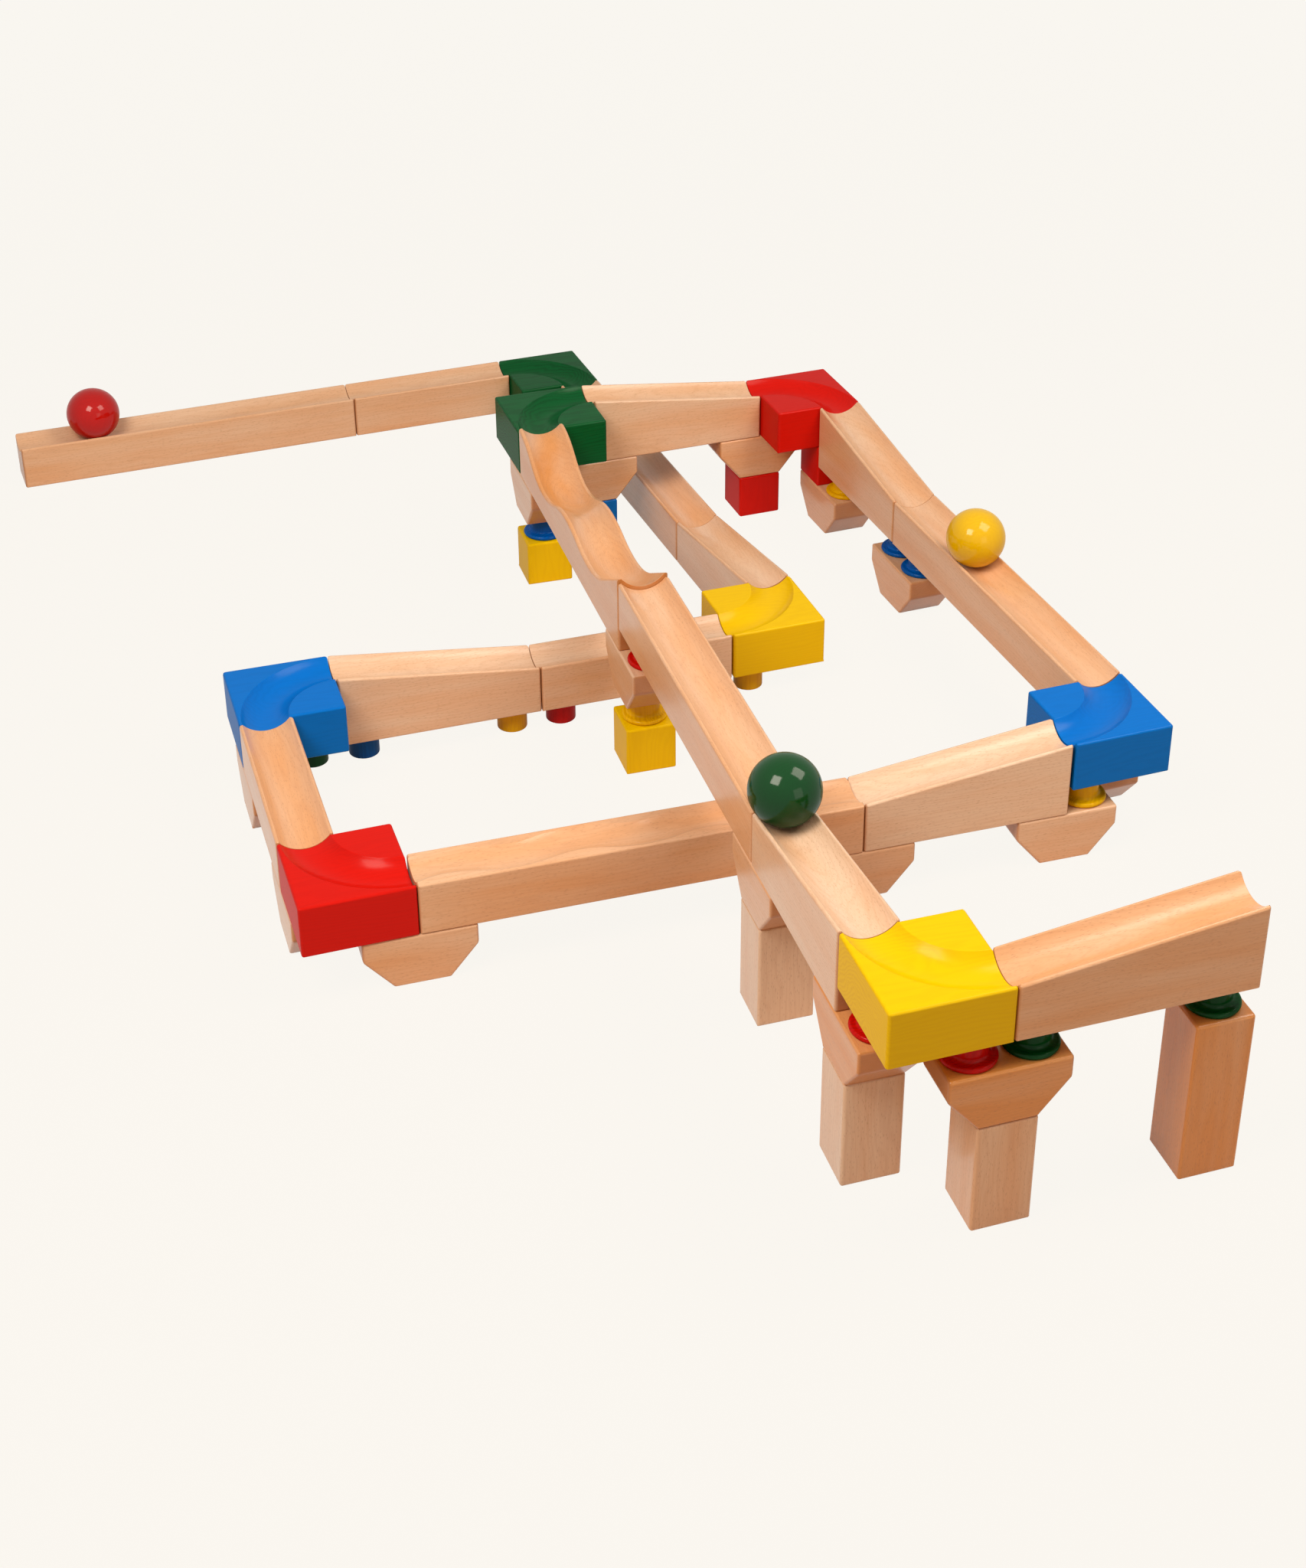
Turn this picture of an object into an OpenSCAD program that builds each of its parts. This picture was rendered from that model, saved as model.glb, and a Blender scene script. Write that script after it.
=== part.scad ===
// Wooden marble run: a chain of grooved blocks that steps down from a high start
// to the floor, carried by bridges, columns, cubes and turned pegs.
// Millimetres, +Z up. The origin is on the floor, at the middle of the whole run.

/* [Blocks] */
// Width of every track, column and cube
block_w = 40; // [32:1:60]
// Height that one ramp drops, which is also how far a peg lifts a block
level = 20; // [14:1:30]
// Length of a short track and of a ramp
short_len = 160; // [120:1:240]
// Length of a long track
long_len = 320; // [300:1:480]
// Gap left where two blocks butt
lay_gap = 0.4; // [0.2:0.1:2]
// Height of the upright ends of a bridge
bridge_lip = 16; // [8:1:24]

/* [Groove] */
// Radius of the cutter that ploughs the groove
groove_r = 22.5; // [18:0.5:28]
// Depth of the groove below the rims
groove_depth = 8.6; // [4:0.1:10]
// Depth of the winding groove in the slalom track
slalom_depth = 5.2; // [3:0.1:8]
// Sideways swing of the slalom's centre line
slalom_swing = 3.6; // [2:0.1:5]
// Number of bends in the slalom track
slalom_bends = 7; // [5:1:9]
// Side that the slalom swings to first: 1 for left, -1 for right
slalom_first_side = -1; // [1, -1]

/* [Wave track] */
// Depth of the groove in the wave track
wave_groove_depth = 7.6; // [4:0.1:9]
// How far the wave track's rims begin above those of the track before it
wave_start_rise = 3; // [1:0.5:6]
// Distance to the first dip
wave_dip_1_x = 92; // [76:1:112]
// Height of the rims at the first dip
wave_dip_1_h = 28; // [24:0.5:34]
// Radius of the rims where the fall runs into the first dip
wave_dip_1_r = 105; // [80:1:126]
// Distance to the crest
wave_crest_x = 160; // [140:1:180]
// Height of the rims at the crest
wave_crest_h = 36; // [35:0.5:44]
// Distance to the second dip
wave_dip_2_x = 238; // [220:1:250]
// Height of the rims at the second dip
wave_dip_2_h = 21; // [19:0.5:26]
// How far the wave track's rims end above those of the track after it
wave_end_rise = 4; // [1:0.5:8]

/* [Pegs and sockets] */
// Diameter of a peg's plug
plug_d = 16; // [12:0.5:20]
// Length of a peg's plug
plug_len = 9; // [6:0.5:12]
// Gap all round a plug in its socket
plug_clear = 0.5; // [0.2:0.1:1]
// Space past the end of a plug
plug_end_gap = 1; // [0.5:0.5:3]
// Diameter of a peg's flange
flange_d = 36; // [30:0.5:37]
// Thickness of a peg's flange
flange_t = 4; // [3:0.5:5]
// Diameter of a peg's shaft
shaft_d = 24; // [20:0.5:28]
// Radius between the shaft and the flange
trumpet_r = 3; // [1:0.5:4]
// Gap all round a flange in the recess under a block
recess_clear = 0.5; // [0.3:0.1:1]
// Depth of the recess under a block
recess_depth = 5; // [3:0.5:6]

/* [Marbles] */
// Diameter of a marble
ball_d = 49; // [44:0.5:56]
// Gap between a marble and the rims it rides on
ball_clear = 0.3; // [0.1:0.1:1]
// Distance of the green marble down the second ramp
green_ball_x = 150.5; // [60:0.5:154]
// Distance of the yellow marble down its long track
yellow_ball_x = 114; // [30:0.5:290]
// Distance of the red marble down the last track
red_ball_x = 248; // [30:0.5:290]

/* [Hidden] */
$fn = 96;
block_h = 2 * level;
wave_start_h = block_h + level + wave_start_rise;
wave_end_h = block_h + wave_end_rise;
corner_w = 2 * block_w;
bend_r = 1.5 * block_w;
bridge_len = corner_w;
socket_in = block_w / 2;
bore_d = plug_d + 2 * plug_clear;
bore_depth = plug_len + plug_end_gap;
recess_d = flange_d + 2 * recess_clear;
lift_shaft = level - flange_t + recess_depth;
ball_r = ball_d / 2;
// How far a cutter reaches past the block that it cuts, and into another cutter.
past = 10;
overlap = 1;

// The run in the order that a marble rolls it: name, kind, and the turn in
// degrees, to the left if positive, that the laid block makes with the one before.
RUN = [
    ["ramp_1", "ramp", 0],
    ["yellow_corner_top", "right", 0],
    ["ramp_2", "ramp", -0.5],
    ["straight_1", "long", 0],
    ["wave_track", "wave", 0],
    ["green_corner_top", "right", 2],
    ["ramp_3", "ramp", 1.5],
    ["red_corner_back", "right", 0.5],
    ["ramp_4", "ramp", 0],
    ["straight_2", "long", 0],
    ["blue_corner_right", "right", -1.5],
    ["ramp_5", "ramp", -2.5],
    ["slalom_track", "slalom", 0],
    ["red_corner_front", "right", 1.5],
    ["straight_3", "short", -0.5],
    ["blue_corner_left", "right", 0],
    ["ramp_6", "ramp", 0.5],
    ["straight_4", "closing", 0],
    ["yellow_corner_low", "left", 1],
    ["ramp_7", "ramp", 2],
    ["straight_5", "long", 0],
    ["green_corner_floor", "left", -0.5],
    ["straight_6", "short", 0.5],
    ["straight_7", "long", 0]
];
start_level = 8;

function index_of(name) = search([name], RUN)[0];
// The closing track brings the run back under its own start, so it is as long as
// the long track that led away from there, less the ramp that came back.
function length_of(kind) =
    kind == "ramp" || kind == "short" ? short_len :
    kind == "closing" ? long_len - short_len :
    kind == "long" || kind == "wave" || kind == "slalom" ? long_len : bend_r;
function drops(kind) = kind == "ramp" || kind == "wave" ? 1 : 0;
function bend_of(kind) = kind == "left" ? 1 : kind == "right" ? -1 : 0;
function seam(turn) = lay_gap + block_w / 2 * sin(abs(turn));

// A place is [x, y, heading]; going(place, along, left) is a point seen from it.
function going(p, along, left) = [
    p[0] + along * cos(p[2]) - left * sin(p[2]),
    p[1] + along * sin(p[2]) + left * cos(p[2]),
    p[2]
];
function turned(p, turn) = [p[0], p[1], p[2] + turn];

// Where block i of the run begins: past the one before it, across the seam.
first_place = [corner_w + short_len, block_w / 2, 180];
function place(i) = i == 0 ? first_place : let (
    before = RUN[i - 1],
    out = bend_of(before[1]),
    exit = turned(going(place(i - 1), length_of(before[1]), out * bend_r), 90 * out),
    turn = RUN[i][2]
) turned(going(exit, seam(turn), 0), turn);
function level_of(i) = i < 0 ? start_level : level_of(i - 1) - drops(RUN[i][1]);

// The middle of the ground that the run covers, from the corners of every block.
function side_low(kind) = kind == "right" ? -bend_r : -block_w / 2;
function side_high(kind) = kind == "left" ? bend_r : block_w / 2;
function reach(kind) = bend_of(kind) == 0 ? length_of(kind) : corner_w;
ground = [for (i = [0:len(RUN) - 1], end = [0, 1], side = [0, 1])
    going(place(i), end * reach(RUN[i][1]), side == 0 ? side_low(RUN[i][1]) : side_high(RUN[i][1]))];
ground_x = [for (p = ground) p[0]];
ground_y = [for (p = ground) p[1]];
centre = [(min(ground_x) + max(ground_x)) / 2, (min(ground_y) + max(ground_y)) / 2];

// Bridges: name, the block whose beginning (0) or end (1) they carry, and their level.
BRIDGES = [
    ["bridge_01", "ramp_1", 1, 4],
    ["bridge_02", "ramp_2", 0, 4],
    ["bridge_03", "straight_1", 0, 4],
    ["bridge_04", "wave_track", 0, 3],
    ["bridge_05", "wave_track", 1, 3],
    ["bridge_06", "ramp_3", 0, 2],
    ["bridge_07", "ramp_3", 1, 2],
    ["bridge_08", "ramp_4", 0, 0],
    ["bridge_09", "straight_2", 0, 0],
    ["bridge_10", "straight_2", 1, 0],
    ["bridge_11", "ramp_5", 0, 0],
    ["bridge_12", "slalom_track", 0, 0],
    ["bridge_13", "slalom_track", 1, 0],
    ["straight_3_bridge_front", "straight_3", 0, 0],
    ["straight_3_bridge_back", "straight_3", 1, 0]
];
// Columns: name, the bridge they carry ("" under the start of the run), and their levels.
COLUMNS = [
    ["start_column", "", 6],
    ["column_1", "bridge_01", 4],
    ["column_2", "bridge_02", 4],
    ["column_3", "bridge_03", 4]
];
// Cubes: name, colour, the bridge they stand under or on, their level, and how far
// along it they sit.
CUBES = [
    ["yellow_cube_front", "gold", "bridge_04", 0, 0],
    ["yellow_cube_back", "gold", "bridge_05", 0, 0],
    ["blue_cube", "royalblue", "bridge_06", 0, 0],
    ["red_cube_back", "firebrick", "bridge_07", 0, 0],
    ["red_cube_right", "firebrick", "bridge_08", 2, -1]
];
// Standing pegs: colour, the bridge, the level that their flange sits on, and how
// far along the bridge, in sockets either way from its middle.
PEGS = [
    ["red", "bridge_01", 6, 1],
    ["green", "bridge_01", 6, -1],
    ["red", "bridge_02", 6, -1],
    ["red", "bridge_04", 5, -1],
    ["yellow", "bridge_04", 2, 0],
    ["blue", "bridge_05", 2, 0],
    ["red", "bridge_06", 4, -1],
    ["yellow", "bridge_08", 2, 1],
    ["blue", "bridge_09", 2, -1],
    ["blue", "bridge_09", 2, 1],
    ["green", "bridge_10", 2, -1],
    ["red", "bridge_10", 2, 1],
    ["yellow", "bridge_11", 2, -1]
];
// Hanging pegs, whose shafts stand on the floor: colour, block, and the socket at its
// beginning (0) or end (1).
FEET = [
    ["tall_green", "blue_corner_left", 1],
    ["blue", "ramp_6", 0],
    ["yellow", "ramp_6", 1],
    ["red", "straight_4", 0],
    ["green", "straight_4", 1],
    ["yellow", "yellow_corner_low", 0],
    ["blue", "yellow_corner_low", 1]
];
PEG_COLOURS = ["red", "green", "blue", "yellow", "tall_green"];
BALLS = ["green_ball", "yellow_ball", "red_ball"];

function row(table, name) = table[search([name], table)[0]];
function bridge_place(name) = let (
    b = row(BRIDGES, name),
    i = index_of(b[1])
) going(place(i), b[2] == 0 ? -lay_gap / 2 : length_of(RUN[i][1]) + lay_gap / 2, 0);
function peg_nodes() = [for (c = PEG_COLOURS) str(c, c == "tall_green" ? "_peg" : "_pegs")];

// Puts its children at a place on a level of the run.
module at(p, lift = 0) {
    translate([p[0] - centre[0], p[1] - centre[1], lift * level])
        rotate(p[2])
            children();
}

// A socket: a plain bore, drilled down from the children's origin.
module bore() {
    translate([0, 0, -bore_depth]) cylinder(d = bore_d, h = bore_depth + past);
}

// A socket in an underside: a shallow recess for a flange, and the bore above it.
module recessed_bore() {
    translate([0, 0, -past]) cylinder(d = recess_d, h = past + recess_depth);
    translate([0, 0, recess_depth - overlap]) cylinder(d = bore_d, h = bore_depth + overlap);
}

module end_sockets(length) {
    for (x = [socket_in, length - socket_in]) translate([x, 0, 0]) recessed_bore();
}

// A level track with a straight groove.
module straight_track(length) {
    difference() {
        translate([0, -block_w / 2, 0]) cube([length, block_w, block_h]);
        translate([-past, 0, block_h + groove_r - groove_depth])
            rotate([0, 90, 0]) cylinder(r = groove_r, h = length + 2 * past);
        end_sockets(length);
    }
}

// A ramp: flat underneath, one level higher where it begins than where it ends.
module ramp_track(length) {
    fall = atan(level / length);
    difference() {
        translate([0, block_w / 2, 0]) rotate([90, 0, 0]) linear_extrude(block_w)
            polygon([[0, 0], [length, 0], [length, block_h], [0, block_h + level]]);
        translate([0, 0, block_h + level]) rotate([0, fall, 0])
            translate([-past, 0, groove_r - groove_depth])
                rotate([0, 90, 0]) cylinder(r = groove_r, h = length + 4 * past);
        end_sockets(length);
    }
}

// A groove that bends is cut along a path of [point, across, up] on its rims' middle
// line, with the same cutter: an arc below, and a flat top clear of the rims.
cutter_half_angle = 75;
cutter_step = 10;
function cutter_ring(stop, depth) = [for (a = [-cutter_half_angle:cutter_step:cutter_half_angle])
    stop[0] + stop[1] * groove_r * sin(a) + stop[2] * (groove_r - depth - groove_r * cos(a))];
module groove_along(path, depth) {
    rings = [for (stop = path) cutter_ring(stop, depth)];
    n = len(rings[0]);
    last = (len(path) - 1) * n;
    polyhedron(
        points = [for (ring = rings, p = ring) p],
        faces = concat(
            [[for (j = [0:n - 1]) j]],
            [for (k = [0:len(path) - 2], j = [0:n - 1], half = [0, 1])
                let (a = k * n + j, b = k * n + (j + 1) % n)
                half == 0 ? [a, b + n, b] : [a, a + n, b + n]],
            [[for (j = [0:n - 1]) last + n - 1 - j]]
        )
    );
}

// The wave's turning points. Between two of them the rims follow an arc out of the
// first and an arc of the same radius into the second.
wave_points = [
    [wave_dip_1_x, wave_dip_1_h],
    [wave_crest_x, wave_crest_h],
    [wave_dip_2_x, wave_dip_2_h],
    [long_len, wave_end_h]
];
function s_radius(a, b) = (pow((b[0] - a[0]) / 2, 2) + pow((b[1] - a[1]) / 2, 2)) / abs(b[1] - a[1]);
function s_sweep(a, b) = asin((b[0] - a[0]) / 2 / s_radius(a, b));
// The straight fall leaves the wave's beginning at this angle, tangent to the first dip.
dip_1_up = wave_dip_1_h + wave_dip_1_r - wave_start_h;
fall_angle = asin(wave_dip_1_r / norm([wave_dip_1_x, dip_1_up])) - atan2(dip_1_up, wave_dip_1_x);
// Arcs as [centre, radius, first angle, last angle], in the order they are rolled.
wave_arcs = concat(
    [[[wave_dip_1_x, wave_dip_1_h + wave_dip_1_r], wave_dip_1_r, 270 - fall_angle, 270]],
    [for (i = [0:len(wave_points) - 2], half = [0, 1])
        let (
            a = wave_points[i],
            b = wave_points[i + 1],
            r = s_radius(a, b),
            sweep = s_sweep(a, b),
            rising = b[1] > a[1],
            hollow = rising == (half == 0),
            end = half == 0 ? a : b,
            c = [end[0], end[1] + (hollow ? r : -r)],
            middle = hollow ? 270 : 90,
            away = hollow ? sweep : -sweep
        )
        half == 0 ? [c, r, middle, middle + away] : [c, r, middle - away, middle]
    ]
);
arc_steps = 6;
// Points along the rims as [x, height, slope in degrees].
function on_arc(arc, t) = let (angle = arc[2] + t * (arc[3] - arc[2])) [
    arc[0][0] + arc[1] * cos(angle),
    arc[0][1] + arc[1] * sin(angle),
    angle > 180 ? angle - 270 : angle - 90
];
wave_rim = concat(
    [[0, wave_start_h, -fall_angle]],
    [for (arc = wave_arcs, k = [0:arc_steps - 1]) on_arc(arc, k / arc_steps)],
    [[long_len, wave_end_h, 0]]
);

// The wave track: its rims fall, dip, crest and dip again, and the groove follows.
module wave_block(length) {
    outline = [for (p = wave_rim) [p[0], p[1]]];
    run_in = [-past, wave_start_h + past * tan(fall_angle), -fall_angle];
    run_out = [length + past, wave_end_h, 0];
    difference() {
        translate([0, block_w / 2, 0]) rotate([90, 0, 0]) linear_extrude(block_w)
            polygon(concat([[0, 0]], outline, [[length, 0]]));
        groove_along([for (p = concat([run_in], wave_rim, [run_out]))
            [[p[0], 0, p[1]], [0, 1, 0], [-sin(p[2]), 0, cos(p[2])]]], wave_groove_depth);
        end_sockets(length);
    }
}

// The slalom track: its groove swings left and right in arcs that run into each other.
module slalom_block(length) {
    bend = length / slalom_bends;
    r = (pow(bend / 2, 2) + pow(slalom_swing, 2)) / (2 * slalom_swing);
    sweep = asin(bend / 2 / r);
    // Points along the middle of the groove as [x, y, heading].
    middle = [for (i = [0:slalom_bends - 1], k = [0:arc_steps]) if (k > 0 || i == 0)
        let (
            side = (i % 2 == 0 ? 1 : -1) * slalom_first_side,
            angle = sweep * (1 - 2 * k / arc_steps)
        ) [(i + 0.5) * bend - r * sin(angle), side * (slalom_swing - r + r * cos(angle)), side * angle]];
    first = middle[0];
    last = middle[len(middle) - 1];
    run_in = [-past, -past * tan(first[2]), first[2]];
    run_out = [length + past, past * tan(last[2]), last[2]];
    difference() {
        translate([0, -block_w / 2, 0]) cube([length, block_w, block_h]);
        groove_along([for (p = concat([run_in], middle, [run_out]))
            [[p[0], p[1], block_h], [-sin(p[2]), cos(p[2]), 0], [0, 0, 1]]], slalom_depth);
        end_sockets(length);
    }
}

// A corner block: two block widths square, its groove a quarter circle about one
// corner. side is 1 for a bend to the left and -1 for one to the right.
module corner_block(side) {
    low_y = side > 0 ? -block_w / 2 : -bend_r;
    difference() {
        translate([0, low_y, 0]) cube([corner_w, corner_w, block_h]);
        translate([0, side * bend_r, block_h + groove_r - groove_depth])
            rotate_extrude() translate([bend_r, 0]) circle(r = groove_r);
        translate([socket_in, 0, 0]) recessed_bore();
        translate([bend_r, side * block_w, 0]) recessed_bore();
    }
}

// A bridge: two sockets on top, splayed sides, and one recessed socket underneath.
module bridge_block() {
    foot = block_w / 2;
    arm = bridge_len / 2;
    splay = block_h - bridge_lip;
    difference() {
        translate([0, block_w / 2, 0]) rotate([90, 0, 0]) linear_extrude(block_w)
            polygon([[-foot, 0], [foot, 0], [arm, splay], [arm, block_h], [-arm, block_h], [-arm, splay]]);
        for (x = [-socket_in, socket_in]) translate([x, 0, block_h]) bore();
        recessed_bore();
    }
}

// A column or a cube: square, with a socket in each end.
module post(height) {
    difference() {
        translate([-block_w / 2, -block_w / 2, 0]) cube([block_w, block_w, height]);
        translate([0, 0, height]) bore();
        recessed_bore();
    }
}

// A turned peg, its flange's lower face at the origin, plug down and shaft up.
module peg(shaft) {
    round = flange_t / 2;
    rotate_extrude() {
        translate([0, -plug_len]) square([plug_d / 2, plug_len + round]);
        square([flange_d / 2 - round, flange_t]);
        translate([flange_d / 2 - round, round]) intersection() {
            circle(r = round);
            translate([0, -round]) square([round, flange_t]);
        }
        translate([0, flange_t - round]) square([shaft_d / 2, shaft + round]);
        translate([0, flange_t]) difference() {
            square([shaft_d / 2 + trumpet_r, trumpet_r]);
            translate([shaft_d / 2 + trumpet_r, trumpet_r]) circle(r = trumpet_r);
        }
    }
}

// The marble's centre above the rims, when it rides on both of them.
function ride_height(depth) = let (half = sqrt(pow(groove_r, 2) - pow(groove_r - depth, 2)))
    sqrt(pow(ball_r + ball_clear, 2) - pow(half, 2));

// A marble, so far along a track whose rims fall by an angle.
module marble(along, rim_h, fall) {
    translate([0, 0, rim_h]) rotate([0, fall, 0])
        translate([along, 0, ride_height(groove_depth)]) sphere(d = ball_d);
}

module run_block(name) {
    i = index_of(name);
    kind = RUN[i][1];
    at(place(i), level_of(i)) {
        if (kind == "ramp") ramp_track(short_len);
        if (kind == "short" || kind == "closing" || kind == "long") straight_track(length_of(kind));
        if (kind == "wave") wave_block(long_len);
        if (kind == "slalom") slalom_block(long_len);
        if (bend_of(kind) != 0) corner_block(bend_of(kind));
    }
}
// A corner block's name begins with its colour.
function corner_paint(name) =
    name[0] == "r" ? "firebrick" : name[0] == "y" ? "gold" : name[0] == "g" ? "seagreen" : "royalblue";

module track(name) { color("burlywood") run_block(name); }

module corner(name) { color(corner_paint(name)) run_block(name); }

module bridge(name) {
    color("tan") at(bridge_place(name), row(BRIDGES, name)[3]) bridge_block();
}

module column(name) {
    c = row(COLUMNS, name);
    p = c[1] == "" ? going(first_place, socket_in, 0) : bridge_place(c[1]);
    color("wheat") at(p) post(c[2] * level);
}

module cube_block(name) {
    c = row(CUBES, name);
    color(c[1]) at(going(bridge_place(c[2]), c[4] * socket_in, 0), c[3]) post(block_h);
}

// Every peg of one colour: the standing ones, the start column's, and the feet.
module pegs(colour) {
    paint = colour == "red" ? "crimson" : colour == "blue" ? "mediumblue" :
        colour == "yellow" ? "yellow" : "green";
    color(paint) {
        for (p = PEGS) if (p[0] == colour)
            at(going(bridge_place(p[1]), p[3] * socket_in, 0), p[2]) peg(lift_shaft);
        if (colour == "green") at(going(first_place, socket_in, 0), row(COLUMNS, "start_column")[2])
            peg(lift_shaft);
        for (f = FEET) if (f[0] == colour) foot_peg(f[1], f[2]);
    }
}

// A peg hung plug upwards in a block's underside, its shaft down to the floor.
module foot_peg(name, end) {
    i = index_of(name);
    kind = RUN[i][1];
    bend = bend_of(kind);
    x = end == 0 ? socket_in : bend == 0 ? length_of(kind) - socket_in : bend_r;
    y = end == 0 ? 0 : bend * block_w;
    underside = level_of(i) * level;
    seat = underside + recess_depth;
    at(going(place(i), x, y)) translate([0, 0, seat]) mirror([0, 0, 1]) peg(seat - flange_t);
}

module green_ball() {
    i = index_of("ramp_2");
    fall = atan(level / short_len);
    color("seagreen") at(place(i), level_of(i))
        marble(green_ball_x / cos(fall), block_h + level, fall);
}

module yellow_ball() {
    i = index_of("straight_2");
    color("gold") at(place(i), level_of(i)) marble(yellow_ball_x, block_h, 0);
}

module red_ball() {
    i = index_of("straight_7");
    color("firebrick") at(place(i), level_of(i)) marble(red_ball_x, block_h, 0);
}

for (r = RUN) union() {
    if (bend_of(r[1]) == 0) track(r[0]);
    else corner(r[0]);
}
for (r = BRIDGES) bridge(r[0]);
for (r = COLUMNS) column(r[0]);
for (r = CUBES) cube_block(r[0]);
for (i = [0:len(PEG_COLOURS) - 1]) pegs(PEG_COLOURS[i]);
green_ball();
yellow_ball();
red_ball();
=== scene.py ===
"""How the wooden marble run looks: beech blocks, stained corner blocks, turned pegs, three marbles."""

import random
from math import radians

import bmesh
import bpy
import numpy as np
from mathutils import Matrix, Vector


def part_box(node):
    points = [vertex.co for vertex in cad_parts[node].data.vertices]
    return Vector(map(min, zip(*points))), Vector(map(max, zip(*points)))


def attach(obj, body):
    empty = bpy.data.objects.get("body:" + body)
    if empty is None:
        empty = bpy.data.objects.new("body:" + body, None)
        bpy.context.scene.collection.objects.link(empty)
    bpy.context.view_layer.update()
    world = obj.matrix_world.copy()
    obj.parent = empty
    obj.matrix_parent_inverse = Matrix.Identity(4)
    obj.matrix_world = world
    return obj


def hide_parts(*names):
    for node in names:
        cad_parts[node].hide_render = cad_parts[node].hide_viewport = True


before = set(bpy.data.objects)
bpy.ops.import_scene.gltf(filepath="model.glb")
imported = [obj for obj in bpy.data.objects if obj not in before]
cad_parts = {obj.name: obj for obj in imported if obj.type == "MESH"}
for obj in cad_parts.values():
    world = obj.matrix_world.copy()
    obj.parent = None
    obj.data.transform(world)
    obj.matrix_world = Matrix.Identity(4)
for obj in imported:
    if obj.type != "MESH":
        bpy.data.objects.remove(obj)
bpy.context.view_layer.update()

# ---------------------------------------------------------------------------
# The studio. A white paper sweep under two square softboxes, one at the left
# and one at the right of the run, a weak fill in front of it, and the pale room
# around them.

SWEEP_WHITE = "fbf8f2"
SWEEP_BOUNCE = "cfb297"  # the warm light that it throws back under the run
SWEEP_SIZE = 14
SWEEP_GLOW = 0.965  # share of the sweep that stays white under the run's shadow
SWEEP_NEAR = 1.0  # from this far out to SWEEP_FAR, the sweep turns as white as the room
SWEEP_FAR = 4.0
ROOM_TINT = "ffe9d2"
ROOM_LEVEL = 0.22
LAMP_TINT = "fff4e6"
LAMP_SIZE = 0.72
LAMP_AIM = Vector((0, 0, 0.08))
# Each lamp's place, and its power in watts.
LAMPS = {
    "softbox_left": (Vector((-0.83, -0.70, 1.43)), 22.5),
    "softbox_right": (Vector((0.76, -0.51, 1.26)), 13),
    "front_fill": (Vector((0.60, -1.75, 0.60)), 2.2),
}


def colour(code):
    """A linear colour from an sRGB hex code."""
    parts = [int(code[i : i + 2], 16) / 255 for i in (0, 2, 4)]
    return [p / 12.92 if p <= 0.04045 else ((p + 0.055) / 1.055) ** 2.4 for p in parts] + [1]


def add_node(tree, kind, inputs=None, **settings):
    """Adds a node with its settings. An input takes a value, or a socket to link."""
    node = tree.nodes.new(kind)
    for name, value in settings.items():
        setattr(node, name, value)
    for key, value in (inputs or {}).items():
        if isinstance(value, bpy.types.NodeSocket):
            tree.links.new(value, node.inputs[key])
        else:
            node.inputs[key].default_value = value
    return node


def seen_directly(tree):
    """1 for a ray that shows the sweep or the room itself, also in a gloss or through glass."""
    path = add_node(tree, "ShaderNodeLightPath")
    rays = [path.outputs[name] for name in ("Is Camera Ray", "Is Glossy Ray", "Is Transmission Ray")]
    two = add_node(tree, "ShaderNodeMath", {0: rays[0], 1: rays[1]}, operation="MAXIMUM")
    return add_node(tree, "ShaderNodeMath", {0: two.outputs[0], 1: rays[2]}, operation="MAXIMUM").outputs[0]


studio = bpy.context.scene
studio.view_settings.view_transform = "Standard"

room = bpy.data.worlds.new("pale_room")
room.use_nodes = True
studio.world = room
tree = room.node_tree
tree.nodes.clear()
lit = add_node(tree, "ShaderNodeBackground", {"Color": colour(ROOM_TINT), "Strength": ROOM_LEVEL})
shown = add_node(tree, "ShaderNodeBackground", {"Color": colour(SWEEP_WHITE), "Strength": 1})
either = add_node(
    tree, "ShaderNodeMixShader", {0: seen_directly(tree), 1: lit.outputs[0], 2: shown.outputs[0]}
)
add_node(tree, "ShaderNodeOutputWorld", {"Surface": either.outputs[0]})

bpy.ops.object.select_all(action="DESELECT")
bpy.ops.mesh.primitive_plane_add(size=SWEEP_SIZE)
sweep = bpy.context.object
sweep.name = "paper_sweep"
paper = bpy.data.materials.new("matt_white_paper")
paper.use_nodes = True
tree = paper.node_tree
tree.nodes.clear()
matt = add_node(tree, "ShaderNodeBsdfDiffuse", {"Color": colour(SWEEP_BOUNCE)})
glow = add_node(tree, "ShaderNodeEmission", {"Color": colour(SWEEP_WHITE), "Strength": 1})
spot = add_node(tree, "ShaderNodeTexCoord").outputs["Object"]
far_out = add_node(tree, "ShaderNodeVectorMath", {0: spot}, operation="LENGTH").outputs["Value"]
white = add_node(
    tree,
    "ShaderNodeMapRange",
    {"Value": far_out, "From Min": SWEEP_NEAR, "From Max": SWEEP_FAR, "To Min": SWEEP_GLOW, "To Max": 1},
)
share = add_node(tree, "ShaderNodeMath", {0: seen_directly(tree), 1: white.outputs[0]}, operation="MULTIPLY")
both = add_node(tree, "ShaderNodeMixShader", {0: share.outputs[0], 1: matt.outputs[0], 2: glow.outputs[0]})
add_node(tree, "ShaderNodeOutputMaterial", {"Surface": both.outputs[0]})
sweep.data.materials.append(paper)

for name, (place, power) in LAMPS.items():
    bpy.ops.object.light_add(type="AREA", location=place)
    lamp = bpy.context.object
    lamp.name = name
    lamp.rotation_euler = (LAMP_AIM - place).to_track_quat("-Z", "Y").to_euler()
    lamp.data.shape = "SQUARE"
    lamp.data.size = LAMP_SIZE
    lamp.data.energy = power
    lamp.data.color = colour(LAMP_TINT)[:3]

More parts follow.
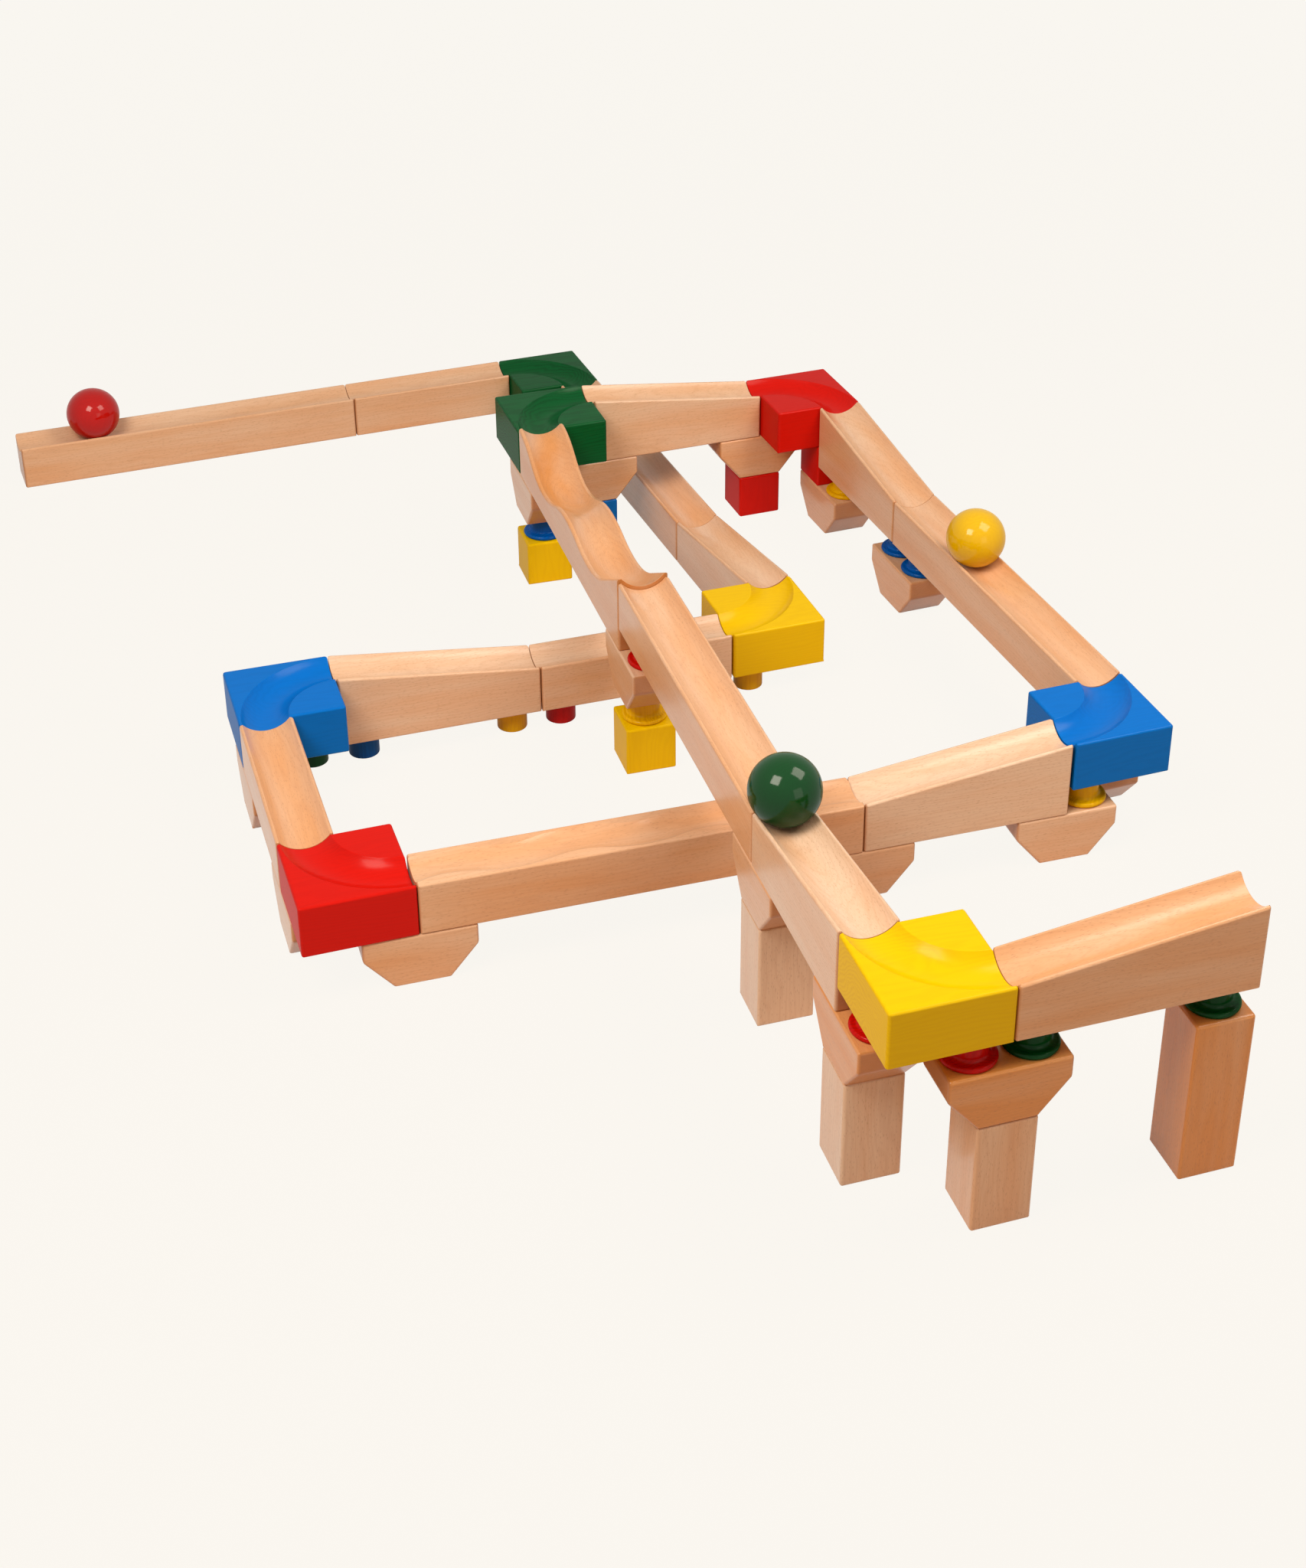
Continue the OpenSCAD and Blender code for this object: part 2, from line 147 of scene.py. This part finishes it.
# The camera looks down on the run from its front left, and the view is cut off
# centre, which the shift gives back.
CAMERA_PLACE = (-0.40509, -1.60958, 1.03796)
CAMERA_TURN = (60.8556, -1.0601, -19.4343)  # in degrees
LENS = 55.394
FILM_WIDTH = 36
VIEW_SHIFT = (-0.08132, -0.1191)
bpy.ops.object.camera_add(location=CAMERA_PLACE, rotation=[radians(angle) for angle in CAMERA_TURN])
camera = bpy.context.object
camera.data.lens = LENS
camera.data.sensor_width = FILM_WIDTH
camera.data.shift_x, camera.data.shift_y = VIEW_SHIFT
studio.camera = camera

# ---------------------------------------------------------------------------
# The beech tracks: straights, ramps, the wave and the slalom. Each is sawn from
# solid steamed beech along the grain, ploughed with a groove, sanded so that no
# edge is sharp, and waxed. They lie end to end without glue.

UPRIGHT_EDGE = 0.0022
TOP_EDGE = 0.0018  # the rims beside a groove are only 2.3 mm wide
FOOT_EDGE = 0.0013  # and the wall round a socket underneath is 1.5 mm
GROOVE_RIM = 0.0004
ROUND_STEPS = 3
SHARP = radians(25)  # an edge that turns by less than this is left as it is
SMOOTH = radians(38)  # and shading runs on over one that turns by less than this
FLAT = radians(0.4)  # faces that turn by less than this are made one
MERGE = 2e-5
ON_HULL = 1e-4
LONG_EDGE = 0.98  # an edge of this share of the longest one runs along the block
SAME_WAY = 0.99  # the cosine between directions that count as one
PLUMB = 0.01  # the sine of the lean that still counts as upright

BEECH_PALE = "e3c5aa"
BEECH_RUDDY = "d88f46"
BEECH_END = "b06c34"
BEECH_FLECK = "8f5a33"


def outside_faces(mesh):
    """For each face, whether the whole mesh lies behind its plane."""
    spots = np.array([vertex.co for vertex in mesh.vertices])
    ways = np.array([face.normal for face in mesh.polygons])
    reach = np.array([face.center.dot(face.normal) for face in mesh.polygons])
    return (ways @ spots.T).max(axis=1) - reach < ON_HULL


def copy_of(node, name, flat_sided=True):
    """A copy of a block's CAD mesh, its loose triangles merged and its flat outer faces whole."""
    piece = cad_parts[node].copy()
    piece.data = piece.data.copy()
    piece.name = piece.data.name = name
    studio.collection.objects.link(piece)
    bpy.ops.object.select_all(action="DESELECT")
    piece.select_set(True)
    bpy.context.view_layer.objects.active = piece
    bpy.ops.object.mode_set(mode="EDIT")
    bpy.ops.mesh.select_all(action="SELECT")
    bpy.ops.mesh.customdata_custom_splitnormals_clear()
    bpy.ops.mesh.remove_doubles(threshold=MERGE)
    bpy.ops.object.mode_set(mode="OBJECT")
    if not flat_sided:
        return piece
    for face, flat in zip(piece.data.polygons, outside_faces(piece.data)):
        face.select = bool(flat)
    bpy.ops.object.mode_set(mode="EDIT")
    bpy.ops.mesh.dissolve_limited(angle_limit=FLAT)
    bpy.ops.object.mode_set(mode="OBJECT")
    return piece


def length_way(piece, near=None):
    """The level direction of a block's longest edge, or of the one nearest to a direction."""
    mesh = piece.data
    ways = []
    for edge in mesh.edges:
        way = mesh.vertices[edge.vertices[1]].co - mesh.vertices[edge.vertices[0]].co
        way.z = 0
        ways.append(way)
    longest = max(way.length for way in ways)
    full = [way.normalized() for way in ways if way.length > LONG_EDGE * longest]
    return max(full, key=lambda way: abs(way.dot(near))) if near else full[0]


def ease_edges(piece, across=None, top_edge=TOP_EDGE):
    """Rounds a block's outer edges, and its groove's rims and the sockets' mouths on its top
    more finely. Where across is given, an edge of a wall that faces that way is an outer one."""
    shape = bmesh.new()
    shape.from_mesh(piece.data)
    outer = dict(zip(shape.faces, outside_faces(piece.data)))
    wall = {
        face: bool(across) and outer[face] and abs(face.normal.dot(across)) > SAME_WAY
        for face in shape.faces
    }
    weight = shape.edges.layers.float.new("bevel_weight_edge")
    for edge in shape.edges:
        if len(edge.link_faces) != 2 or not edge.is_convex or edge.calc_face_angle() < SHARP:
            continue
        one, two = edge.link_faces
        downward = min(one.normal.z, two.normal.z) < -SAME_WAY
        upright = max(abs(one.normal.z), abs(two.normal.z)) < PLUMB
        if (outer[one] and outer[two]) or wall[one] or wall[two]:
            width = FOOT_EDGE if downward else UPRIGHT_EDGE if upright else top_edge
        else:
            width = 0 if downward else GROOVE_RIM
        edge[weight] = width / UPRIGHT_EDGE
    shape.to_mesh(piece.data)
    shape.free()
    soften(piece, UPRIGHT_EDGE, limit_method="WEIGHT")


def soften(piece, width, **how):
    """Bevels a piece and shades it smooth, its flat faces kept flat."""
    bpy.ops.object.select_all(action="DESELECT")
    piece.select_set(True)
    bpy.context.view_layer.objects.active = piece
    bevel = piece.modifiers.new("eased", "BEVEL")
    bevel.width = width
    bevel.segments = ROUND_STEPS
    bevel.use_clamp_overlap = False
    for name, value in how.items():
        setattr(bevel, name, value)
    bpy.ops.object.modifier_apply(modifier=bevel.name)
    bpy.ops.object.shade_smooth_by_angle(angle=SMOOTH)
    flat = piece.modifiers.new("flat_faces", "WEIGHTED_NORMAL")
    flat.keep_sharp = True
    bpy.ops.object.modifier_apply(modifier=flat.name)


# Where in the trunk a board was sawn, in mm: along the trunk, and where its middle lies
# from the pith, sideways and upwards. Boards of one tone still differ a little.
TRUNK_LENGTH = 900
PITH_ASIDE = 30
PITH_BELOW = (20, 90)
TONE_SPREAD = 0.06
MM = 1000


def lay_grain(piece, along, tone):
    """Gives a piece its wood: where each point lies in the board, how far the surface
    is cut across the grain, and how ruddy the board is. Each board is its own."""
    board = random.Random(piece.name)
    along = Vector(along).normalized()
    up = Vector((0, 0, 1)) if abs(along.z) < 0.5 else Vector((0, 1, 0))
    side = up.cross(along).normalized()
    up = along.cross(side)
    shift = Vector(
        (board.uniform(0, TRUNK_LENGTH), board.uniform(-PITH_ASIDE, PITH_ASIDE), board.uniform(*PITH_BELOW))
    )
    mesh = piece.data
    where = mesh.attributes.new("grain_mm", "FLOAT_VECTOR", "POINT")
    for vertex, value in zip(mesh.vertices, where.data):
        value.vector = MM * Vector((vertex.co.dot(along), vertex.co.dot(side), vertex.co.dot(up))) + shift
    middle = sum((value.vector for value in where.data), Vector()) / len(where.data)
    for value in where.data:
        x, y, z = value.vector
        value.vector = (x, y - middle.y + shift.y, z - middle.z + shift.z)
    cut = mesh.attributes.new("across_grain", "FLOAT", "CORNER")
    cut.data.foreach_set("value", [abs(normal.vector.dot(along)) for normal in mesh.corner_normals])
    # The board's ruddiness: its own tone, which on some posts and bridges also holds painted warm light.
    ruddy = mesh.attributes.new("ruddy", "FLOAT", "POINT")
    ruddy.data.foreach_set("value", [tone + board.uniform(-TONE_SPREAD, TONE_SPREAD)] * len(mesh.vertices))


def finish_piece(piece, node, material, body="run"):
    """The piece takes its material, moves with its body, and stands for its CAD block."""
    piece.data.materials.clear()
    piece.data.materials.append(material)
    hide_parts(node)
    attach(piece, body)


# The wood's figure. Growth rings lie 2.6 mm apart and sway by a few mm, over 80 mm along
# the grain and 17 mm across it. Fibres are too fine to show, so they are drawn 20 mm
# long and 0.7 mm wide. What is per mm is given along the grain, then across it.
RING_SCALE = 0.12  # the wave texture's own scale for rings 2.6 mm apart
SWAYS_PER_MM = (0.012, 0.06, 0.06)
RING_SWAY = 16
RING_STRETCH = (0.05, 1, 1)
FIBRES_PER_MM = (0.05, 1.5, 1.5)


def rings_and_fibres(tree, where):
    """The growth rings and the fibres at a place in the board, each from 0 to 1."""
    slow = add_node(tree, "ShaderNodeMapping", {"Vector": where, "Scale": SWAYS_PER_MM})
    wander = add_node(tree, "ShaderNodeTexNoise", {"Vector": slow.outputs[0], "Scale": 1, "Detail": 2})
    sway = add_node(
        tree,
        "ShaderNodeVectorMath",
        {0: wander.outputs["Color"], 1: (0, RING_SWAY, RING_SWAY), 2: where},
        operation="MULTIPLY_ADD",
    )
    lean = add_node(tree, "ShaderNodeMapping", {"Vector": sway.outputs[0], "Scale": RING_STRETCH})
    rings = add_node(
        tree,
        "ShaderNodeTexWave",
        {
            "Vector": lean.outputs[0],
            "Scale": RING_SCALE,
            "Distortion": 1.2,
            "Detail": 2,
            "Detail Scale": 0.3,
        },
        wave_type="RINGS",
        rings_direction="X",
    )
    thin = add_node(tree, "ShaderNodeMapping", {"Vector": where, "Scale": FIBRES_PER_MM})
    fibres = add_node(tree, "ShaderNodeTexNoise", {"Vector": thin.outputs[0], "Scale": 1, "Detail": 3})
    return rings.outputs["Fac"], fibres.outputs["Fac"]


# Beech, steamed, sanded and waxed: a warm pale tan with faint rings and short dark
# flecks, ruddier boards among paler ones, darker and duller where cut across the
# grain, and a low satin sheen. Its broad ruddy streaks are 170 mm long and 20 mm
# wide. Its ray flecks are dashes of up to 3 by 0.6 mm, one to each 5 by 1 mm.
STREAKS_PER_MM = (0.006, 0.05, 0.05)
STREAK_DEPTH = 0.2
FLECKS_PER_MM = (1 / 5, 1, 1)
FLECK_EDGE = 0.3
FLECK_CORE = 0.12
END_BEGINS = 0.2
END_FULL = 0.9
SANDED_ROUGHNESS = 0.4
SAWN_ROUGHNESS = 0.6

beech = bpy.data.materials.new("waxed_beech")
beech.use_nodes = True
tree = beech.node_tree
tree.nodes.clear()
where = add_node(tree, "ShaderNodeAttribute", attribute_name="grain_mm").outputs["Vector"]
# Each board's tone, on some posts and bridges partly painted warm light.
ruddy = add_node(tree, "ShaderNodeAttribute", attribute_name="ruddy").outputs["Fac"]
cut = add_node(tree, "ShaderNodeAttribute", attribute_name="across_grain").outputs["Fac"]
rings, fibres = rings_and_fibres(tree, where)
wide = add_node(tree, "ShaderNodeMapping", {"Vector": where, "Scale": STREAKS_PER_MM})
streaks = add_node(tree, "ShaderNodeTexNoise", {"Vector": wide.outputs[0], "Scale": 1, "Detail": 2})
dash = add_node(tree, "ShaderNodeMapping", {"Vector": where, "Scale": FLECKS_PER_MM})
cells = add_node(tree, "ShaderNodeTexVoronoi", {"Vector": dash.outputs[0], "Scale": 1})
flecks = add_node(
    tree,
    "ShaderNodeMapRange",
    {
        "Value": cells.outputs["Distance"],
        "From Min": FLECK_EDGE,
        "From Max": FLECK_CORE,
        "To Min": 0,
        "To Max": 1,
    },
).outputs[0]
broad = add_node(
    tree,
    "ShaderNodeMapRange",
    {
        "Value": streaks.outputs["Fac"],
        "From Min": 0.3,
        "From Max": 0.7,
        "To Min": -STREAK_DEPTH,
        "To Max": STREAK_DEPTH,
    },
)
warmth = add_node(tree, "ShaderNodeMath", {0: ruddy, 1: broad.outputs[0]}, operation="ADD", use_clamp=True)
board = add_node(
    tree,
    "ShaderNodeMix",
    {0: warmth.outputs[0], 6: colour(BEECH_PALE), 7: colour(BEECH_RUDDY)},
    data_type="RGBA",
)
# What darkens the board: where each thing begins and is full, how strongly it shows
# there, and its colour.
surface = board.outputs[2]
for figure, begins, full, shows, tint in (
    (rings, 0.55, 1, 0.09, BEECH_END),
    (fibres, 0.42, 0.72, 0.12, BEECH_END),
    (flecks, 0, 1, 0.27, BEECH_FLECK),
    (cut, END_BEGINS, END_FULL, 0.65, BEECH_END),
):
    amount = add_node(
        tree,
        "ShaderNodeMapRange",
        {"Value": figure, "From Min": begins, "From Max": full, "To Min": 0, "To Max": shows},
    )
    darker = add_node(
        tree, "ShaderNodeMix", {0: amount.outputs[0], 6: surface, 7: colour(tint)}, data_type="RGBA"
    )
    surface = darker.outputs[2]
dull = add_node(
    tree,
    "ShaderNodeMapRange",
    {
        "Value": cut,
        "From Min": END_BEGINS,
        "From Max": END_FULL,
        "To Min": SANDED_ROUGHNESS,
        "To Max": SAWN_ROUGHNESS,
    },
)
relief = add_node(tree, "ShaderNodeMath", {0: fibres, 1: flecks}, operation="SUBTRACT")
pores = add_node(tree, "ShaderNodeBump", {"Height": relief.outputs[0], "Strength": 0.25, "Distance": 0.00012})
shader = add_node(
    tree,
    "ShaderNodeBsdfPrincipled",
    {
        "Base Color": surface,
        "Roughness": dull.outputs[0],
        "IOR": 1.5,
        "Specular IOR Level": 0.1,
        "Coat Weight": 0.6,
        "Coat Roughness": 0.2,
        "Normal": pores.outputs[0],
        "Coat Normal": pores.outputs[0],
    },
)
add_node(tree, "ShaderNodeOutputMaterial", {"Surface": shader.outputs[0]})

# How ruddy each board is, from 0 to 1.
TRACK_TONES = {
    "ramp_1": 0.6,
    "ramp_2": 0.12,
    "straight_1": 0.6,
    "wave_track": 0.7,
    "ramp_3": 0.3,
    "ramp_4": 0.35,
    "straight_2": 0.45,
    "ramp_5": 0,
    "slalom_track": 0.43,
    "straight_3": 0.5,
    "ramp_6": 0.22,
    "straight_4": 0.25,
    "ramp_7": 0.3,
    "straight_5": 0.53,
    "straight_6": 0.35,
    "straight_7": 0.33,
}
SLALOM_EDGE = 0.0015  # where its groove swings, the rim is only 2 mm wide
for node in sorted(TRACK_TONES):
    track = copy_of(node, node + "_beech")
    along = length_way(track)
    rim = SLALOM_EDGE if node == "slalom_track" else TOP_EDGE
    ease_edges(track, across=Vector((-along.y, along.x, 0)), top_edge=rim)
    lay_grain(track, along, TRACK_TONES[node])
    finish_piece(track, node, beech)

# ---------------------------------------------------------------------------
# The corner blocks, two block widths square, their groove a quarter circle. They
# are beech stained through with a bright water colour and lacquered, so the grain
# still shows faintly and the edges catch the light.

STAINS = {"yellow": "e6bf00", "red": "cc1408", "green": "045427", "blue": "006ecd"}
STAIN_DEPTH = {"yellow": "c78a00", "red": "960a04", "green": "032c12", "blue": "004c94"}
STAIN_SHOWS = {"yellow": 0.13, "red": 0.12, "green": 0.42, "blue": 0.12}
STAIN_GLOSS = 0.2
CLEAR_COAT = 0.17
END_DRINKS = 2.2  # how many times as much colour the wood takes up where cut across the grain


def lacquered(name, thin, deep, gloss, show_grain, coat=CLEAR_COAT):
    """Beech under a coloured lacquer: the wood's figure darkens it, and a clear coat lies
    on top."""
    paint = bpy.data.materials.new(name)
    paint.use_nodes = True
    tree = paint.node_tree
    tree.nodes.clear()
    where = add_node(tree, "ShaderNodeAttribute", attribute_name="grain_mm").outputs["Vector"]
    rings, fibres = rings_and_fibres(tree, where)
    figure = add_node(tree, "ShaderNodeMath", {0: rings, 1: fibres}, operation="MULTIPLY")
    depth = add_node(
        tree,
        "ShaderNodeMapRange",
        {"Value": figure.outputs[0], "From Min": 0.1, "From Max": 0.7, "To Min": 0, "To Max": show_grain},
    )
    cut = add_node(tree, "ShaderNodeAttribute", attribute_name="across_grain").outputs["Fac"]
    drunk = add_node(
        tree,
        "ShaderNodeMapRange",
        {"Value": cut, "From Min": 0.3, "From Max": 1, "To Min": 1, "To Max": END_DRINKS},
    )
    taken = add_node(
        tree,
        "ShaderNodeMath",
        {0: depth.outputs[0], 1: drunk.outputs[0]},
        operation="MULTIPLY",
        use_clamp=True,
    )
    skin = add_node(
        tree, "ShaderNodeMix", {0: taken.outputs[0], 6: colour(thin), 7: colour(deep)}, data_type="RGBA"
    )
    pores = add_node(tree, "ShaderNodeBump", {"Height": fibres, "Strength": 0.2, "Distance": 0.0001})
    shader = add_node(
        tree,
        "ShaderNodeBsdfPrincipled",
        {
            "Base Color": skin.outputs[2],
            "Roughness": 0.5,
            "IOR": 1.5,
            "Specular IOR Level": 0.02,
            "Coat Weight": coat,
            "Coat Roughness": gloss,
            "Normal": pores.outputs[0],
            "Coat Normal": pores.outputs[0],
        },
    )
    add_node(tree, "ShaderNodeOutputMaterial", {"Surface": shader.outputs[0]})
    return paint


# Stained and lacquered beech: even strong colour, half gloss, grain just visible.
stained = {
    stain: lacquered(
        stain + "_stained_beech", STAINS[stain], STAIN_DEPTH[stain], STAIN_GLOSS, STAIN_SHOWS[stain]
    )
    for stain in STAINS
}

for node in sorted(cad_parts):
    if "_corner_" in node:
        block = copy_of(node, node + "_stained")
        along = length_way(block, near=Vector((1, 0, 0)))
        ease_edges(block)
        lay_grain(block, along, 0)
        stain = node.split("_")[0]
        finish_piece(block, node, stained[stain])

# ---------------------------------------------------------------------------
# The bridges: a beech beam on a narrower foot, its lower corners sawn away. Two
# sockets on top take pegs, and it is rougher where the saw crossed the grain.

# How ruddy each bridge is, from 0 to 1. bridge_01 and bridge_02 are made ruddier as painted warm light: a
# glow from the front right, and on bridge_02 also the yellow block's painted warm bounce.
BRIDGE_TONES_AND_WARM_LIGHT = {"bridge_01": 1, "bridge_02": 0.9, "bridge_07": 0.65}
OTHER_BRIDGES_TONE = 0.45
for node in sorted(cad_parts):
    if "bridge" in node:
        bridge = copy_of(node, node + "_beech")
        along = length_way(bridge)
        ease_edges(bridge, top_edge=UPRIGHT_EDGE)
        lay_grain(bridge, along, BRIDGE_TONES_AND_WARM_LIGHT.get(node, OTHER_BRIDGES_TONE))
        finish_piece(bridge, node, beech)

# ---------------------------------------------------------------------------
# The columns: square beech posts sawn along the grain, which stands upright, with
# a socket drilled in each end.

# How ruddy each post is, from 0 to 1. The tones rise toward the front right, start_column and column_1 most,
# as painted warm light falling from that side on top of each post's own tone.
COLUMN_TONES_AND_WARM_LIGHT = {"start_column": 0.95, "column_1": 0.4, "column_2": 0.2, "column_3": 0.05}
for node in sorted(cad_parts):
    if "column" in node:
        post = copy_of(node, node + "_beech")
        ease_edges(post, top_edge=UPRIGHT_EDGE)
        lay_grain(post, (0, 0, 1), COLUMN_TONES_AND_WARM_LIGHT[node])
        finish_piece(post, node, beech)

# ---------------------------------------------------------------------------
# The cubes: short stained posts, as high as they are wide, that lift a bridge or
# fill the gap over one.

for node in sorted(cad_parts):
    if "_cube" in node:
        cube = copy_of(node, node + "_stained")
        ease_edges(cube, top_edge=UPRIGHT_EDGE)
        lay_grain(cube, (0, 0, 1), 0)
        stain = node.split("_")[0]
        finish_piece(cube, node, stained[stain])

# ---------------------------------------------------------------------------
# The pegs: turned from beech dowel, a plug and a broad flange on a short shaft, and
# dipped in a glossy coloured lacquer. All short pegs of one colour are one piece.

PEG_EDGE = 0.0005
PEG_SHARP = radians(50)
PEG_GLOSS = 0.12
PEG_SHOWS = 0.3
PEG_COLOURS = {"red": "c20d06", "green": "044418", "blue": "0058b4", "yellow": "e4b400"}
PEG_DEPTH = {"red": "8c0804", "green": "032a0e", "blue": "003c84", "yellow": "c48600"}
# Dipped beech: a deep even colour and a wet gloss over all the turned curves.
turned = {
    paint: lacquered(paint + "_dipped_beech", PEG_COLOURS[paint], PEG_DEPTH[paint], PEG_GLOSS, PEG_SHOWS)
    for paint in PEG_COLOURS
}

for node in sorted(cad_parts):
    if "_peg" in node:
        pegs = copy_of(node, node + "_turned", flat_sided=False)
        soften(pegs, PEG_EDGE, limit_method="ANGLE", angle_limit=PEG_SHARP)
        lay_grain(pegs, (0, 0, 1), 0)
        paint = node.replace("tall_", "").split("_")[0]
        finish_piece(pegs, node, turned[paint])

# ---------------------------------------------------------------------------
# The marbles: wooden balls turned from beech and lacquered to a full gloss, with
# small sharp highlights. They roll loose on the groove's rims.

BALL_CUTS = 15
BALL_GRAIN = (0.25, 0.1, 1)
BALL_GLOSS = 0.08
BALL_SHOWS = 0.12
BALL_COAT = 0.5
BALL_COLOURS = {"green": "003f16", "yellow": "e0b400", "red": "bc0a04"}
BALL_DEPTH = {"green": "00300f", "yellow": "cc9300", "red": "960803"}
for name in BALL_COLOURS:
    low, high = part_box(name + "_ball")
    centre = (low + high) / 2
    radius = min(high - low) / 2
    bpy.ops.object.select_all(action="DESELECT")
    bpy.ops.mesh.primitive_cube_add(size=radius, location=centre)
    ball = bpy.context.object
    ball.name = name + "_marble"
    bpy.ops.object.transform_apply(location=True, rotation=False, scale=False)
    bpy.ops.object.mode_set(mode="EDIT")
    bpy.ops.mesh.select_all(action="SELECT")
    bpy.ops.mesh.subdivide(number_cuts=BALL_CUTS)
    bpy.ops.object.mode_set(mode="OBJECT")
    for vertex in ball.data.vertices:
        vertex.co = centre + (vertex.co - centre).normalized() * radius
    bpy.ops.object.shade_smooth()
    lay_grain(ball, BALL_GRAIN, 0)
    gloss = lacquered(
        name + "_gloss_lacquer", BALL_COLOURS[name], BALL_DEPTH[name], BALL_GLOSS, BALL_SHOWS, BALL_COAT
    )
    finish_piece(ball, name + "_ball", gloss, body=name + "_ball")
